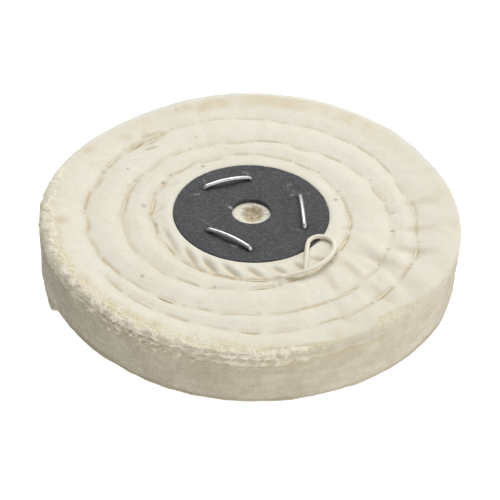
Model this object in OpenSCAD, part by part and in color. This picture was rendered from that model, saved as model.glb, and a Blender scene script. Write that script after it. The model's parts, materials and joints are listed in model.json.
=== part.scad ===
// Spiral sewn cotton buffing wheel, lying flat, in millimetres.
// The spindle bore runs along Z and the loose rim of the lowest ply rests on Z = 0.

/* [Wheel] */
// Diameter over the cloth
wheel_d = 101.6; // [85:0.1:130]
// Thickness at the loose rim
rim_thickness = 14.8; // [14.6:0.1:18]
// Thickness across the sewn band
sewn_thickness = 12.7; // [11:0.1:12.8]
// Thickness of the cloth squeezed between the washers
hub_thickness = 10.4; // [9:0.1:10.8]
// How far the stapled hub is drawn up towards the front face
hub_lift = 0.5; // [0.4:0.05:0.6]
// Number of cloth plies
ply_count = 40; // [20:2:40]
// Spindle bore
bore_d = 9.525; // [6:0.005:13]
// How far the outermost plies are worn back at the rim
edge_wear = 0.3; // [0.1:0.05:1.5]

/* [Washers] */
// Diameter of each fibre washer
washer_d = 38.1; // [34:0.1:42]
// Thickness of each fibre washer
washer_thickness = 1; // [0.6:0.1:1.4]
// Rounding left by the punch along the washer's edge
washer_edge_r = 0.2; // [0.1:0.05:0.25]

/* [Staples] */
// Staple wire diameter
wire_d = 1.1; // [0.8:0.05:1.2]
// Distance between the two legs of a staple
staple_w = 12.2; // [10:0.1:14]
// Distance of each crown from the bore axis
staple_r = 12.4; // [10:0.1:13]
// Bend radius at the middle of the wire
bend_r = 0.9; // [0.8:0.05:1.2]
// Angle by which the crown springs up from each corner
crown_arch = 12; // [4:1:16]
// How deep the corners of the crown sit in the washer
crown_seat = 0.3; // [0.1:0.05:0.35]
// Straight length of each clinched tail
tail_l = 3.6; // [2:0.1:4]

/* [Sewing] */
// Sewing thread diameter, pulled tight
thread_d = 0.7; // [0.5:0.05:0.8]
// Diameter of the loose thread loop, where nothing pulls on it
loose_thread_d = 1.1; // [0.8:0.05:1.2]
// Length of one stitch
stitch_l = 8.6; // [7:0.1:11]
// Distance from the washer's edge to the start of the spiral seam
seam_margin = 5.4; // [5:0.1:6]
// Distance from the wheel's edge to the end of the spiral seam
rim_margin = 8.1; // [7.5:0.1:10]

/* [Hidden] */
// Room between a thread and the cloth round it
thread_clearance = 0.05;
// Room between a staple leg and its hole
wire_clearance = 0.2;
// Flat cloth beyond the washer before it rises to the sewn band
hub_ease = 0.3;
// Length of the rise from the hub to the sewn band
hub_rise_l = 2.6;
// Widths of the loose flat rim and of the flare that leads up to it
rim_flat_w = 3.3;
rim_flare_w = 3.3;
// How sharply the wear grows towards the two faces
wear_power = 4;
round_steps = 96;
wire_steps = 24;
// Sides of the swept staple wire and rings along its bends
wire_sides = 12;
bend_steps = 4;
arch_steps = 4;

wheel_r = wheel_d / 2;
washer_r = washer_d / 2;
middle_z = rim_thickness / 2;
hub_z = middle_z + hub_lift;
hub_r = washer_r + hub_ease;
sewn_inner_r = hub_r + hub_rise_l;
rim_inner_r = wheel_r - rim_flat_w;
sewn_outer_r = rim_inner_r - rim_flare_w;
hub_half = hub_thickness / 2;
sewn_half = sewn_thickness / 2;
rim_half = rim_thickness / 2;
washer_half = hub_half + washer_thickness;

// Staple places: angle round the bore, and how far each was driven off the tangent
staple_angles = [3, 120, 246];
staple_skews = [2, -8, -8];
staple_count = len(staple_angles);
staple_hole_d = wire_d + 2 * wire_clearance;

// The seam is guided by hand: it runs clockwise and wanders off a true spiral.
// Each wander value is a share of the spacing of the turns, one every eighth of a turn.
seam_start = 285;
seam_turns = 3.2;
seam_sweep = 360 * seam_turns;
wander_step = 45;
wander = [
    0.17, -0.03, -0.2, -0.34, -0.5, -0.7, -0.92, -0.8,
    -0.46, 0, 0, -0.26, -0.54, -0.5, -0.18, 0.1,
    0.18, 0.24, 0.55, 0.37, 0.25, 0.04, -0.1, 0.19,
    0.25, -0.04, -0.2
];
seam_inner_r = washer_r + seam_margin;
seam_outer_r = wheel_r - rim_margin;
seam_spacing = (seam_outer_r - seam_inner_r) / seam_turns;

// A stitch turns down into its needle hole in a round knuckle, a little wider than the thread,
// and goes on as a leg that is drawn a little thinner
knuckle_swell = 0.25;
leg_draw = 0.14;
knuckle_d = thread_d + knuckle_swell;
leg_d = thread_d - leg_draw;
needle_hole_d = leg_d + 2 * thread_clearance;
float_z = sewn_half + thread_clearance + thread_d / 2;
// The float and the leg both end inside the knuckle and clear of each other
float_inset = leg_d / 2 + thread_clearance / 2;
leg_inset = thread_d / 2 - thread_clearance;

// Route of the loose thread, from the first stitch, round over the washer's edge and back to where its
// cut end lies on the cloth. Heights are measured from the top of the sewn band.
loop_route = [
    [7.25, -24.38, 0.62], [8.7, -24.05, 0.7], [10.9, -23.65, 1.15], [13.3, -22.75, 1.55],
    [15.4, -21.3, 1.55], [17.4, -19.4, 1.55], [18.9, -17.2, 1.55], [19.75, -14.9, 1.55],
    [19.9, -12.65, 1.35], [19.48, -11, 1.05], [18.35, -9.87, 1], [16.8, -9.45, 1],
    [15.25, -9.87, 1], [14.12, -11, 1], [13.65, -12.6, 1], [13.45, -14.5, 1.02],
    [13.35, -16.6, 1], [13.25, -18.4, 0.85], [13.15, -20, 0.7], [13.1, -21.5, 0.62]
];
// Sides of the swept loop and rings between its points
loop_sides = 8;
loop_steps = 3;
// A direction that no swept tube sets out along, to square its first ring by
across = [0, 1, 0];

function ply_name(number) = str("cloth_ply_", number < 10 ? "0" : "", number);

function unit(v) = v / norm(v);
function degrees_along(length, radius) = length / radius * 180 / PI;

// Wander of the seam at an angle along it, eased from one listed value to the next
function wander_at(angle) =
    let (
        index = min(floor(angle / wander_step), len(wander) - 2),
        ease = (1 - cos(180 * (angle / wander_step - index))) / 2
    )
    wander[index] * (1 - ease) + wander[index + 1] * ease;

function seam_r(angle) = seam_inner_r + seam_spacing * (angle / 360 + wander_at(angle));

function seam_point(angle) =
    [seam_r(angle) * cos(seam_start - angle), seam_r(angle) * sin(seam_start - angle), 0];

needle_holes = [
    for (angle = 0; angle <= seam_sweep; angle = angle + degrees_along(stitch_l, seam_r(angle)))
        seam_point(angle)
];

// Height of a layer boundary above the middle of the wheel, from -1 at the bottom to 1 at the top
function layer(boundary) = 2 * boundary / ply_count - 1;

module cloth_ply(number) {
    low = layer(number - 1);
    high = layer(number);
    ply_r = wheel_r - edge_wear * pow((low + high) / 2, wear_power);
    color("cornsilk")
    translate([0, 0, middle_z])
    difference() {
        rotate_extrude($fn = round_steps)
        polygon([
            [bore_d / 2, hub_lift + low * hub_half], [hub_r, hub_lift + low * hub_half],
            [sewn_inner_r, low * sewn_half], [sewn_outer_r, low * sewn_half],
            [rim_inner_r, low * rim_half], [ply_r, low * rim_half],
            [ply_r, high * rim_half], [rim_inner_r, high * rim_half],
            [sewn_outer_r, high * sewn_half], [sewn_inner_r, high * sewn_half],
            [hub_r, hub_lift + high * hub_half], [bore_d / 2, hub_lift + high * hub_half]
        ]);
        staple_holes(rim_half);
        for (hole = needle_holes)
            translate(hole)
            cylinder(h = rim_thickness, d = needle_hole_d, center = true, $fn = wire_steps);
    }
}

// Straight holes for every staple leg, reaching the given height each way from the middle
module staple_holes(reach) {
    for (index = [0 : staple_count - 1])
        at_staple(index)
        for (side = [-1, 1])
            translate([side * staple_w / 2, 0, 0])
            cylinder(h = 2 * reach, d = staple_hole_d, center = true, $fn = wire_steps);
}

// Places a staple drawn along X at its own angle and skew
module at_staple(index) {
    rotate(staple_angles[index])
    translate([staple_r, 0, 0])
    rotate(90 + staple_skews[index])
    children();
}

module washer() {
    difference() {
        rotate_extrude($fn = round_steps)
        difference() {
            translate([bore_d / 2, hub_half])
            square([washer_r - bore_d / 2, washer_thickness]);
            translate([washer_r - washer_edge_r, washer_half - washer_edge_r])
            difference() {
                square(2 * washer_edge_r);
                circle(r = washer_edge_r, $fn = wire_steps);
            }
        }
        staple_holes(rim_half);
    }
}

module front_washer() {
    color("dimgray")
    translate([0, 0, hub_z])
    washer();
}

module back_washer() {
    color("dimgray")
    translate([0, 0, hub_z])
    mirror([0, 0, 1])
    washer();
}

// Points along a round bend in the XZ plane, from one angle to another
function bend(centre, radius, from, to, steps) = [
    for (step = [0 : steps])
        let (angle = from + (to - from) * step / steps)
        centre + radius * [cos(angle), 0, sin(angle)]
];

module staple(index) {
    corner_x = staple_w / 2 - bend_r;
    leg_top = washer_half - crown_seat;
    leg_bottom = bend_r - washer_half - wire_d / 2 - thread_clearance;
    arch_r = corner_x / sin(crown_arch) + bend_r;
    arch_z = leg_top - (arch_r - bend_r) * cos(crown_arch);
    tail = [corner_x - tail_l, 0, leg_bottom - bend_r];
    half_wire = concat(
        [tail],
        bend([corner_x, 0, leg_bottom], bend_r, -90, 0, bend_steps),
        bend([corner_x, 0, leg_top], bend_r, 0, 90 - crown_arch, bend_steps),
        bend([0, 0, arch_z], arch_r, 90 - crown_arch * (1 - 1 / arch_steps), 90, arch_steps - 1)
    );
    other_half = [
        for (i = [len(half_wire) - 2 : -1 : 0])
            [-half_wire[i].x, 0, half_wire[i].z]
    ];
    color("lightgray")
    translate([0, 0, hub_z])
    at_staple(index)
    swept_tube(concat(half_wire, other_half), wire_d, wire_sides);
}

// One stitch lying on the cloth between two needle holes
module stitch_float(from, to) {
    run = to - from;
    translate(from)
    rotate([0, 90, atan2(run.y, run.x)])
    translate([0, 0, float_inset])
    cylinder(h = norm(run) - 2 * float_inset, d = thread_d, $fn = wire_steps);
}

// All stitches of one thread, each with a leg down its needle hole to the middle of the wheel
module stitching() {
    translate([0, 0, float_z]) {
        for (index = [1 : len(needle_holes) - 1])
            stitch_float(needle_holes[index - 1], needle_holes[index]);
        for (hole = needle_holes)
            translate(hole) {
                sphere(d = knuckle_d, $fn = wire_steps);
                translate([0, 0, thread_clearance - float_z])
                cylinder(h = float_z - thread_clearance - leg_inset, d = leg_d, $fn = wire_steps);
            }
    }
}

module needle_thread() {
    color("wheat")
    translate([0, 0, middle_z])
    stitching();
}

module bobbin_thread() {
    color("wheat")
    translate([0, 0, middle_z])
    mirror([0, 0, 1])
    stitching();
}

// A round tube swept through a list of points, with its ends cut square
module swept_tube(points, diameter, sides) {
    last = len(points) - 1;
    headings = [
        for (i = [0 : last])
            unit(points[min(i + 1, last)] - points[max(i - 1, 0)])
    ];
    first_side = unit(cross(headings[0], across));
    sideways = [
        for (i = 0, side = first_side;
            i <= last;
            i = i + 1,
            side = i <= last ? unit(side - (side * headings[i]) * headings[i]) : side)
            side
    ];
    rings = [
        for (i = [0 : last], k = [0 : sides - 1])
            points[i] + diameter / 2 * (
                cos(360 * k / sides) * sideways[i]
                + sin(360 * k / sides) * cross(headings[i], sideways[i])
            )
    ];
    walls = [
        for (i = [0 : last - 1], k = [0 : sides - 1])
            let (
                a = i * sides + k,
                b = i * sides + (k + 1) % sides
            )
            each [[a, a + sides, b], [b, a + sides, b + sides]]
    ];
    start_cap = [for (k = [0 : sides - 1]) k];
    end_cap = [for (k = [sides - 1 : -1 : 0]) last * sides + k];
    polyhedron(points = rings, faces = concat(walls, [start_cap, end_cap]));
}

// A smooth curve through a list of points, with a number of steps between each two
function smooth(points, steps) =
    let (last = len(points) - 1)
    concat(
        [
            for (i = [0 : last - 1], step = [0 : steps - 1])
                let (
                    t = step / steps,
                    before = points[max(i - 1, 0)],
                    from = points[i],
                    to = points[i + 1],
                    after = points[min(i + 2, last)]
                )
                from + (to - before) * t / 2
                + (2 * before - 5 * from + 4 * to - after) * t * t / 2
                + (3 * from - before - 3 * to + after) * t * t * t / 2
        ],
        [points[last]]
    );

module thread_loop() {
    color("wheat")
    translate([0, 0, middle_z + sewn_half])
    swept_tube(smooth(loop_route, loop_steps), loose_thread_d, loop_sides);
}

for (number = [1 : ply_count])
    cloth_ply(number);
front_washer();
back_washer();
for (number = [1 : staple_count])
    staple(number - 1);
needle_thread();
bobbin_thread();
thread_loop();
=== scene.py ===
import json
import math

import bmesh
import bpy
import numpy as np
from mathutils import Matrix, Vector


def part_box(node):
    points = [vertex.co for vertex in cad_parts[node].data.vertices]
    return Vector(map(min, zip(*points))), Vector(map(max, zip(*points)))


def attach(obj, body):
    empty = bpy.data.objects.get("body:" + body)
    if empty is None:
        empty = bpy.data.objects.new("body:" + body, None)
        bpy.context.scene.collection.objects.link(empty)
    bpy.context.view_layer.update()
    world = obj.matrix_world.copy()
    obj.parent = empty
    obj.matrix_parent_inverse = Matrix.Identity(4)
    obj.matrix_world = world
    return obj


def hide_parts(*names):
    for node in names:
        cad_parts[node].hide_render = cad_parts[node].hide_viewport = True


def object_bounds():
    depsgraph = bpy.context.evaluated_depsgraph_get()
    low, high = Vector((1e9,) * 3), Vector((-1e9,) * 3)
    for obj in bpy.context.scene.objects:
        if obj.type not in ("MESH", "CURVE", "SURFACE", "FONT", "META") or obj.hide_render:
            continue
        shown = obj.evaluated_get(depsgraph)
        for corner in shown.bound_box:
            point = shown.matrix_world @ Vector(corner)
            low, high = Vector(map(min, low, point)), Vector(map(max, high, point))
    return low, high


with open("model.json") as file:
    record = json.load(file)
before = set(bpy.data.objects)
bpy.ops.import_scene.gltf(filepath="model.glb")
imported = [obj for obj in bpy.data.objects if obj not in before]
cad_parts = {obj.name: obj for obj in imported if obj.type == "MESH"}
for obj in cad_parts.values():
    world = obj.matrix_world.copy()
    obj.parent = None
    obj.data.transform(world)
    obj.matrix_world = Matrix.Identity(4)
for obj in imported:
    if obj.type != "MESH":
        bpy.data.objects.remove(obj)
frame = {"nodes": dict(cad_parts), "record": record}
cad_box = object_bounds()

MM = 0.001

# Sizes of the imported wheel
BORE_R = frame["record"]["mounts"][0]["dims"]["r_mm"] * MM
WHEEL_R = cad_box[1].x
PLY_COUNT = sum(name.startswith("cloth_ply_") for name in frame["nodes"])
MIDDLE_Z = (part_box("cloth_ply_01")[0].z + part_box(f"cloth_ply_{PLY_COUNT}")[1].z) / 2
FRONT_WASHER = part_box("front_washer")
BACK_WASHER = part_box("back_washer")
WASHER_R = FRONT_WASHER[1].x
WASHER_THICKNESS = FRONT_WASHER[1].z - FRONT_WASHER[0].z
HUB_Z = (FRONT_WASHER[0].z + BACK_WASHER[1].z) / 2
HUB_HALF = (FRONT_WASHER[0].z - BACK_WASHER[1].z) / 2
WASHER_HALF = HUB_HALF + WASHER_THICKNESS
SEWN_HALF = 6.35 * MM
SEWN_TOP = MIDDLE_Z + SEWN_HALF
BODY = "root"


def ply_nodes(first, last):
    return [f"cloth_ply_{number:02d}" for number in range(first, last + 1)]


# The hand-guided spiral seam: clockwise, three and a bit turns, each wander a share of the turn spacing
SEAM_START = 285
SEAM_TURNS = 3.2
SEAM_SWEEP = 360 * SEAM_TURNS
SEAM_INNER_R = WASHER_R + 5.4 * MM
SEAM_OUTER_R = WHEEL_R - 8.1 * MM
SEAM_SPACING = (SEAM_OUTER_R - SEAM_INNER_R) / SEAM_TURNS
WANDER_STEP = 45
WANDER = [
    0.17, -0.03, -0.2, -0.34, -0.5, -0.7, -0.92, -0.8,
    -0.46, 0, 0, -0.26, -0.54, -0.5, -0.18, 0.1,
    0.18, 0.24, 0.55, 0.37, 0.25, 0.04, -0.1, 0.19,
    0.25, -0.04, -0.2,
]
STITCH_L = 8.6 * MM


def seam_radius(angle):
    index = min(math.floor(angle / WANDER_STEP), len(WANDER) - 2)
    ease = (1 - math.cos(math.pi * (angle / WANDER_STEP - index))) / 2
    wander = WANDER[index] * (1 - ease) + WANDER[index + 1] * ease
    return SEAM_INNER_R + SEAM_SPACING * (angle / 360 + wander)


def needle_holes():
    holes = []
    angle = 0
    while angle <= SEAM_SWEEP:
        radius = seam_radius(angle)
        turn = math.radians(SEAM_START - angle)
        holes.append((radius * math.cos(turn), radius * math.sin(turn)))
        angle += math.degrees(STITCH_L / radius)
    return np.array(holes)


HOLES = needle_holes()
STITCH_COUNT = len(HOLES) - 1
stitch_dice = np.random.default_rng(5)
# How far each stitch bows to one side, how plainly it shows, how far aside its crease lies,
# where along the stitch that starts and ends, and how plainly each needle hole shows
STITCH_BOWS = stitch_dice.uniform(-0.45, 0.45, STITCH_COUNT) * MM
STITCH_SHOWS = stitch_dice.uniform(0.3, 1, STITCH_COUNT)
CREASE_ASIDE = stitch_dice.uniform(-0.35, 0.35, STITCH_COUNT) * MM
CREASE_ENDS = stitch_dice.uniform((0.02, 0.65), (0.3, 1), (STITCH_COUNT, 2))
HOLE_SHOWS = stitch_dice.uniform(0, 1, STITCH_COUNT + 1) ** 2
# The first stitches, next to the loose thread, are the plainest
FIRST_STITCHES = 4
STITCH_SHOWS[:FIRST_STITCHES] = 1
# The deeper crease of a stitch lies on the side away from the light from the back, where its groove and
# painted shade go: on its outer side at the front of the wheel, on its inner side at the back
CREASE_SIDES = np.where(HOLES[1:, 1] < 0, 1, -1)


# Number fields over the cloth

# Angles run anticlockwise from the right of the wheel as it is seen here: 90 is its back, 180 its left and
# 270 its front.


def smoothstep(low, high, value):
    share = np.clip((value - low) / (high - low), 0, 1)
    return share * share * (3 - 2 * share)


def bell(value, width):
    return np.exp(-(value / width) ** 2)


def turn_gap(a, b):
    """Signed difference of two angles in degrees, from -180 to 180."""
    return (a - b + 180) % 360 - 180


def sector(turn, middle, spread):
    """1 at an angle round the wheel, falling off to both sides of it."""
    return bell(turn_gap(turn, middle), spread)


LATTICE = 128


def soft_noise(x, y, seed):
    """Smooth noise from -1 to 1 with one bump to a unit, the same on every run."""
    lattice = np.random.default_rng(seed).uniform(-1, 1, (LATTICE, LATTICE))
    column = np.floor(x).astype(int)
    row = np.floor(y).astype(int)
    u = smoothstep(0, 1, x - column)
    v = smoothstep(0, 1, y - row)

    def mixed(line):
        left = lattice[line % LATTICE, column % LATTICE]
        right = lattice[line % LATTICE, (column + 1) % LATTICE]
        return left * (1 - u) + right * u

    return mixed(row) * (1 - v) + mixed(row + 1) * v


def waves(x, y, span, seed, shift=0):
    """Smooth noise over the wheel with bumps of a span in millimetres."""
    return soft_noise(x / (span * MM) + shift, y / (span * MM) + shift, seed)


# Middle of the ring that ring_noise cuts out of the noise
RING_X = 50.3
RING_Y = 50.7


def ring_noise(turn, bumps, seed, level=0.0):
    """Noise round the wheel that closes on itself, with about that many bumps to a turn."""
    reach = bumps / (2 * math.pi)
    angle = np.radians(turn)
    return soft_noise(reach * np.cos(angle) + RING_X, reach * np.sin(angle) + RING_Y + level, seed)


def polar(turn, radius):
    """A point on the wheel from an angle in degrees and a radius in millimetres."""
    return np.array([math.cos(math.radians(turn)), math.sin(math.radians(turn))]) * radius * MM


def turn_and_radius(x, y):
    """The angle in degrees and the radius in metres of places on the wheel."""
    return np.degrees(np.arctan2(y, x)) % 360, np.hypot(x, y)


# The frayed rim: how far it stands beyond the plies' cut size, and its lobes out of round as
# count, height in millimetres and the angle of one crest
FRAY_OUT = 0.28 * MM
LOBES = [(1, 0.26, 53), (2, 0.25, 55), (3, 0.55, 68.3), (4, 0.43, 80.3)]


def rim_radius(turn):
    lobes = sum(size * MM * np.cos(np.radians(count * (turn - crest))) for count, size, crest in LOBES)
    return WHEEL_R + FRAY_OUT + lobes


# The right of the upper edge is worn round: the angles where that starts, is full, lessens and ends,
# and how far the front ply stops short of the rim there, in millimetres
WORN_TURNS = (-95, -60, -35, 0)
WORN_IN = 0.55


def worn_round(turn):
    start, full, less, end = WORN_TURNS
    gap = turn_gap(turn, 0)
    return smoothstep(start, full, gap) - smoothstep(less, end, gap)


# Where the upper edge is frayed: angle, spread and strength
FRAYED = [(188, 24, 0.85), (227, 19, 1), (263, 22, 0.75)]


def fraying(turn):
    """How frayed the upper edge is: rough at the left and the front, most of all between them."""
    total = sum(strength * sector(turn, middle, spread) for middle, spread, strength in FRAYED)
    return np.clip(total, 0, 1)


# How far from a stitch it is looked for
SEAM_REACH = 6 * MM


def seam_field(x, y):
    """Distance to the nearest stitch, how far aside of it, how far along it from 0 to 1, and its number."""
    away = np.full(x.shape, 2 * SEAM_REACH)
    aside = away.copy()
    along = np.full(x.shape, 0.5)
    number = np.zeros(x.shape, int)
    for index, (start, end, bow) in enumerate(zip(HOLES[:-1], HOLES[1:], STITCH_BOWS)):
        middle = (start + end) / 2
        near = np.nonzero(np.hypot(x - middle[0], y - middle[1]) < STITCH_L / 2 + SEAM_REACH)
        length = np.hypot(*(end - start))
        ahead = (end - start) / length
        forward = (x[near] - start[0]) * ahead[0] + (y[near] - start[1]) * ahead[1]
        share = np.clip(forward / length, 0, 1)
        gap = (y[near] - start[1]) * ahead[0] - (x[near] - start[0]) * ahead[1] - bow * np.sin(np.pi * share)
        distance = np.hypot(forward - share * length, gap)
        closer = distance < away[near]
        picked = (near[0][closer], near[1][closer])
        away[picked] = distance[closer]
        aside[picked] = gap[closer]
        along[picked] = share[closer]
        number[picked] = index
    return away, aside, along, number


# Marks along a stitch, grooves and dimples in the cloth that are also painted with shade, and dark dots:
# width of a crease and its distance from the thread, size of the mark at a needle hole, and size and spacing
# of the dots
CREASE_W = 0.28 * MM
CREASE_GAP = 0.25 * MM
HOLE_MARK_R = 0.4 * MM
DOT_R = 0.3 * MM
DOT_STEP = 1.4 * MM


def crease_lines(aside, along, number):
    """The thin crease beside each sunk stitch, short of its needle holes, and a fainter one opposite."""
    first, last = CREASE_ENDS[number].transpose(2, 0, 1)
    drawn = smoothstep(first - 0.1, first + 0.1, along) * (1 - smoothstep(last - 0.15, last + 0.15, along))
    place = CREASE_SIDES[number] * CREASE_GAP
    main = bell(aside - CREASE_ASIDE[number] - place, CREASE_W)
    other = 0.4 * bell(aside + CREASE_ASIDE[number] + place, CREASE_W)
    return STITCH_SHOWS[number] * drawn * np.maximum(main, other)


def hole_marks(away, along, number):
    """Round marks at the needle holes, each as plain as its stitch."""
    far = np.minimum(along, 1 - along) * STITCH_L
    return HOLE_SHOWS[number + (along > 0.5)] * bell(np.hypot(away, far), HOLE_MARK_R)


def thread_dots(away, along, number):
    """Small dark dots where the twist of a sunk stitch shows, some plainer than others."""
    dots = np.cos(np.pi * along * STITCH_L / DOT_STEP) ** 4
    plain = 0.5 + 0.5 * soft_noise(along * 4, number + 0.5, 27)
    return bell(away, DOT_R) * dots * plain * STITCH_SHOWS[number]


# Smooth shape of a cloth face beyond the hub: radius and height above the middle, in millimetres
FACE_SHAPE = {
    "front": [
        (19.12, 6.45), (19.6, 6.62), (20.2, 6.7), (21.2, 6.76), (23, 6.8), (30, 6.88), (40, 6.96), (44, 7.05),
        (47, 7.25), (50, 7.36),
    ],
    "back": [
        (19.4, 5.2), (20.6, 5.9), (22, 6.4), (24, 6.6), (30, 6.75), (40, 6.85), (44, 6.95), (47, 7.15),
        (50, 7.2),
    ],
}
# Inside that the cloth lies flat under the washer and is drawn together over the bore: radius and height
# above the flat part, and the room left under the washer, in millimetres
MOUTH_SHAPE = [
    (0.05, -1.3), (1.3, -1.2), (2, -0.9), (2.6, -0.45), (3.1, -0.1), (3.9, 0.1), (5, 0), (19, 0),
]
WASHER_GAP = 0.05
# Which way each face looks, how far its washer lies from the middle, the seed of its noise and the height of
# the waves at its rim, and the room under the lowest ply
FACE_UP = {"front": 1, "back": -1}
FACE_HUB = {"front": FRONT_WASHER[0].z - MIDDLE_Z, "back": MIDDLE_Z - BACK_WASHER[1].z}
FACE_SEED = {"front": 11, "back": 47}
RIM_WAVE = {"front": 0.25 * MM, "back": 0.06 * MM}
FLOOR_GAP = 0.03 * MM
# Unevenness of the sewn cloth: height and span in millimetres
UNEVEN = [(0.16, 9), (0.05, 2.2)]


def face_shape(r, face):
    flat = FACE_HUB[face] / MM - WASHER_GAP
    mouth = [(radius, flat + height) for radius, height in MOUTH_SHAPE]
    return np.interp(r / MM, *zip(*mouth, *FACE_SHAPE[face])) * MM


# The cloth sinks along the seam in a wide hollow, at a stitch in a groove and at a needle hole in a dimple
PILLOW_W = 2.6 * MM
PILLOW_H = 0.4 * MM
GROOVE_H = 0.38 * MM
DIMPLE_H = 0.25 * MM

# Folds of the cloth: angle and radius of each end, depth and width, in degrees and millimetres.
# First those gathered at the washer, then a pleat at the back left, then soft puckers at the front right.
FRONT_FOLDS = [
    (199, 22.3, 226, 24, 0.35, 0.6), (223, 21.3, 240, 24.3, 0.55, 0.6), (238, 21.2, 253, 24.6, 0.6, 0.6),
    (252, 21.1, 266, 25, 0.55, 0.6), (268, 21.2, 278, 24.6, 0.5, 0.6), (284, 21.4, 291, 24.4, 0.4, 0.6),
    (298, 21.4, 303, 25.4, 0.4, 0.6), (309, 21.8, 318, 26, 0.35, 0.6), (178, 21.3, 186, 24, 0.2, 0.6),
    (150, 21, 160, 23.5, 0.15, 0.6), (20, 21.2, 26, 24, 0.15, 0.6), (345, 22, 352, 25, 0.2, 0.6),
    (144, 40, 125, 39.4, 0.65, 0.4), (141, 36.8, 134, 35.3, 0.5, 0.45), (137, 41.5, 128, 40.9, 0.45, 0.4),
    (140, 38.4, 129, 38, 0.5, 0.4),
    (322, 26.5, 318, 36, 0.3, 1.2), (310, 27, 305, 35, 0.25, 1.4), (331, 27, 332, 43, 0.3, 1.5),
    (341, 35, 343, 46, 0.3, 1.5), (318, 37, 316, 46, 0.35, 1.5), (302, 37, 300, 46, 0.25, 1.5),
    (353, 36, 356, 46, 0.3, 1.5), (8, 36.5, 9, 47, 0.25, 1.6),
]
BACK_FOLDS = [
    (20, 21, 30, 25, 0.4, 0.6), (64, 21, 76, 25, 0.5, 0.6), (101, 21, 112, 25, 0.5, 0.6),
    (150, 21, 158, 24, 0.3, 0.6), (205, 21, 218, 25, 0.5, 0.6), (251, 21, 260, 25, 0.4, 0.6),
    (310, 21, 322, 25, 0.5, 0.6),
]
FOLDS = {"front": FRONT_FOLDS, "back": BACK_FOLDS}


def fold_depth(x, y, face):
    """Depth of the folds: each is a valley with a raised lip along one side."""
    depth = np.zeros(x.shape)
    for turn_in, r_in, turn_out, r_out, deepest, width in FOLDS[face]:
        start = polar(turn_in, r_in)
        run = polar(turn_out, r_out) - start
        length = np.hypot(*run)
        share = ((x - start[0]) * run[0] + (y - start[1]) * run[1]) / length ** 2
        across = ((x - start[0]) * run[1] - (y - start[1]) * run[0]) / (length * width * MM)
        fade = smoothstep(-0.15, 0.35, share) * (1 - smoothstep(0.65, 1.15, share))
        depth += deepest * MM * fade * (bell(across, 1) - 0.45 * bell(across + 2.1, 1.5))
    return depth


# Height of the radial puckers in millimetres: on the back face, all over the front face, and added at its
# front right and front left
BACK_PUCKER_H = 0.14
FRONT_PUCKER_H = 0.1
FRONT_RIGHT_PUCKER_H = 0.24
FRONT_LEFT_PUCKER_H = 0.06
PUCKER_COUNT = 46
# How far the puckers lean, in degrees for each metre out from the middle of the sewn band
PUCKER_LEAN = 260
SEWN_MIDDLE_R = 35 * MM


def pucker_height(r, turn, face):
    """Radial puckers, highest at the front right of the front face."""
    if face == "back":
        return BACK_PUCKER_H * MM * smoothstep(26 * MM, 40 * MM, r)
    front_right = FRONT_RIGHT_PUCKER_H * sector(turn, 330, 38)
    front_left = FRONT_LEFT_PUCKER_H * sector(turn, 235, 40)
    return (FRONT_PUCKER_H + front_right + front_left) * MM * smoothstep(24 * MM, 33 * MM, r)


# Where the torn edge of the front ply stops short of the rim: angle and radius in millimetres
TORN_EDGE = [
    (262, 51), (271, 50.2), (275.8, 48.4), (280.4, 49.2), (286, 48.7), (291, 49.2), (295.5, 49.8),
    (303, 49.9), (306, 49.6), (308.8, 47.9), (316, 48.5), (321.6, 49.8), (330, 51),
]
# How much further in that edge lies where the rim is worn round, in millimetres, and how deep its step is
TORN_WORN_IN = 0.8
TORN_STEP = 0.28 * MM
# The cloth stands up round the loose thread where that comes out of it: place in millimetres, and height
THREAD_ROOT = (7.4, -24.4)
ROOT_H = 0.75 * MM


def torn_gap(r, turn):
    """How far a place lies outside the torn edge of the front ply."""
    return r - (np.interp(turn, *zip(*TORN_EDGE)) - TORN_WORN_IN * worn_round(turn)) * MM


def cloth_height(x, y, face):
    """Height of a sewn cloth face above the middle of the wheel."""
    seed = FACE_SEED[face]
    turn, r = turn_and_radius(x, y)
    away, aside, along, number = seam_field(x, y)
    height = face_shape(r, face)
    height -= PILLOW_H * bell(away, PILLOW_W)
    height -= GROOVE_H * crease_lines(aside, along, number)
    height -= DIMPLE_H * hole_marks(away, along, number)
    height -= fold_depth(x, y, face)
    sewn = smoothstep(20.5 * MM, 22.5 * MM, r)
    # Rounded ridges with sharp valleys between them
    pucker = ring_noise(turn + PUCKER_LEAN * (r - SEWN_MIDDLE_R), PUCKER_COUNT, seed, r / (26 * MM))
    height += sewn * pucker_height(r, turn, face) * (np.sqrt(pucker ** 2 + 0.02) * 2.2 - 0.7)
    for layer, (size, span) in enumerate(UNEVEN, 1):
        height += sewn * size * MM * waves(x, y, span, seed + layer)
    height += RIM_WAVE[face] * ring_noise(turn, 11, seed + 3) * smoothstep(42 * MM, 49 * MM, r)
    mouth = 1 - smoothstep(3.6 * MM, 4.6 * MM, r)
    height += mouth * 0.3 * MM * waves(x, y, 0.7, seed + 6, 40)
    if face == "back":
        return np.minimum(height, MIDDLE_Z - FLOOR_GAP)
    height += 0.22 * MM * waves(x, y, 1.1, seed + 4) * fraying(turn) * smoothstep(46.8 * MM, 49 * MM, r)
    height -= TORN_STEP * smoothstep(-0.1 * MM, 0.25 * MM, torn_gap(r, turn))
    root = np.hypot(x - THREAD_ROOT[0] * MM, y - THREAD_ROOT[1] * MM)
    return height + ROOT_H * bell(root, 1.1 * MM)


# Building meshes

def link(name, mesh):
    made = bpy.data.objects.new(name, mesh)
    bpy.context.scene.collection.objects.link(made)
    return made


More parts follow.
